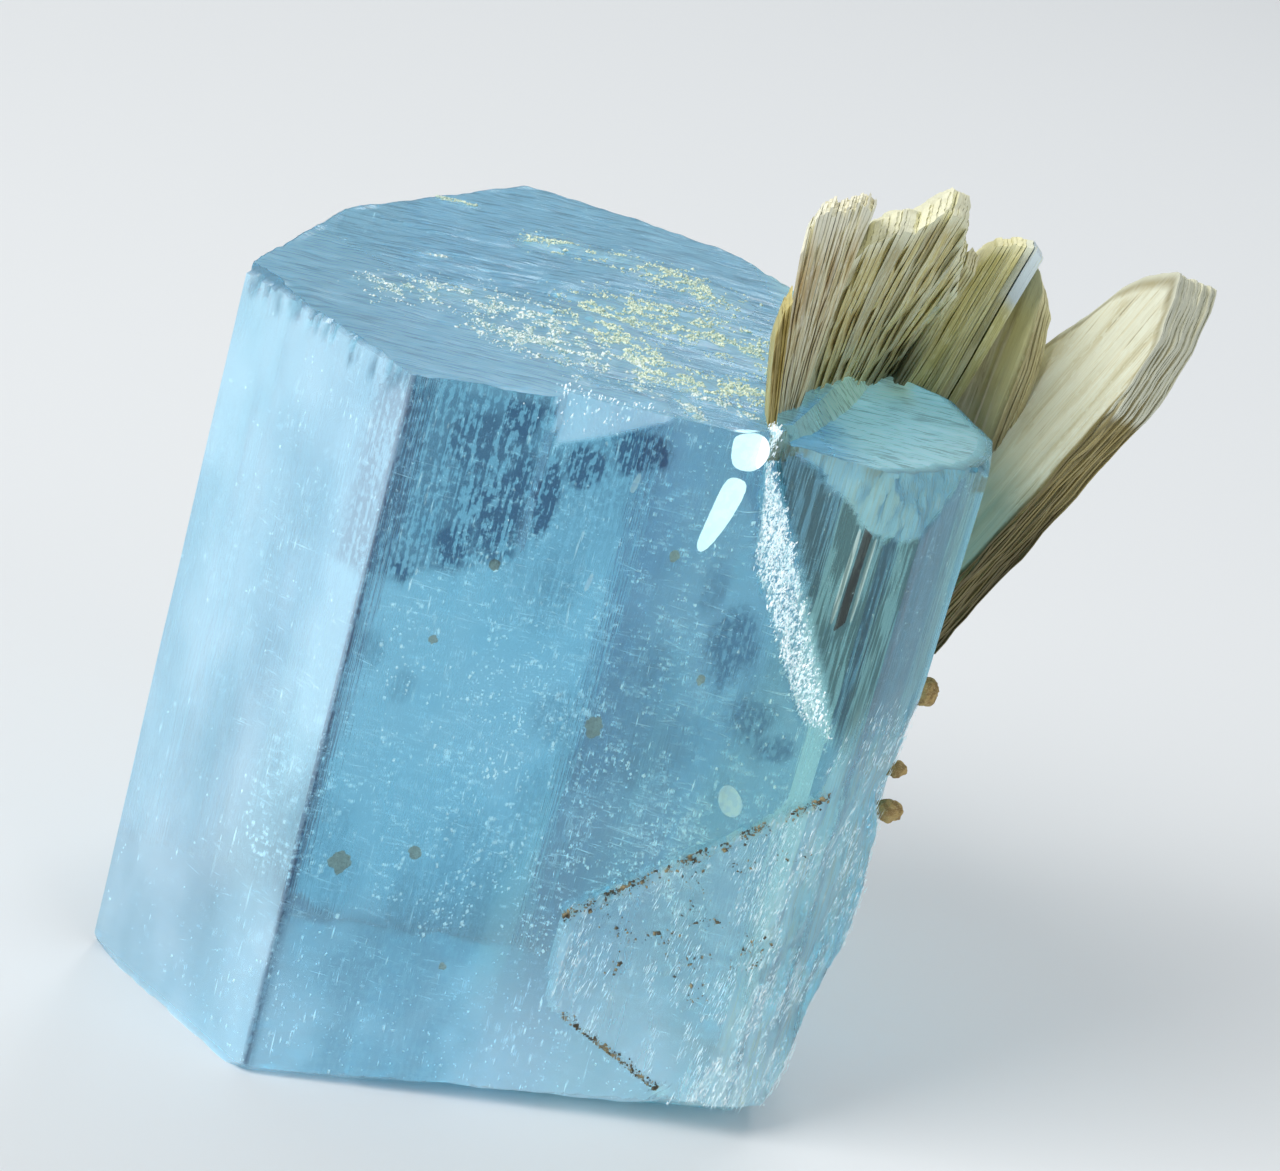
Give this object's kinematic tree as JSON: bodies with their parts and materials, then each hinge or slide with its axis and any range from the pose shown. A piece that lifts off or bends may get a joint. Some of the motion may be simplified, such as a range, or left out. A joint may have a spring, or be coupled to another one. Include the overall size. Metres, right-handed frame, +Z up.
{
  "type": "aquamarine crystal specimen",
  "caption": "Natural aquamarine: a stout hexagonal crystal standing on its broken base, with a smaller side crystal and fanned books of mica.",
  "frame": {"origin": "middle of the specimen's bounding box, at the level of the flat broken base that it stands on", "axes": "+Z up along the crystals' long axis; -Y out of the broad front prism face; +X towards the side crystal and the largest book of mica"},
  "size_m": [0.054, 0.0348, 0.0529],
  "materials": {
    "aquamarine": "clear natural crystal faces, pale blue, with cloudy veils",
    "mica": "pearly straw to brown sheets with frayed edges",
    "ochre_mica": "iron-stained mica, satin",
    "matrix": "dull brown, granular",
    "crust": "frosted pale yellow etched patches",
    "inclusions": "white to tan flecks, needles and veils sealed in the crystal"
  },
  "bodies": {
    "root": {"aquamarine_crystal": "aquamarine", "mica_sheet_ochre": "ochre_mica", "mica_book_left": "mica", "mica_book_middle": "mica", "mica_sliver": "mica", "mica_book_centre": "mica", "mica_book_tan": "mica", "mica_book_right": "mica", "matrix_crumb_upper": "matrix", "matrix_crumb_middle": "matrix", "matrix_crumb_lower": "matrix"}
  },
  "joints": []
}
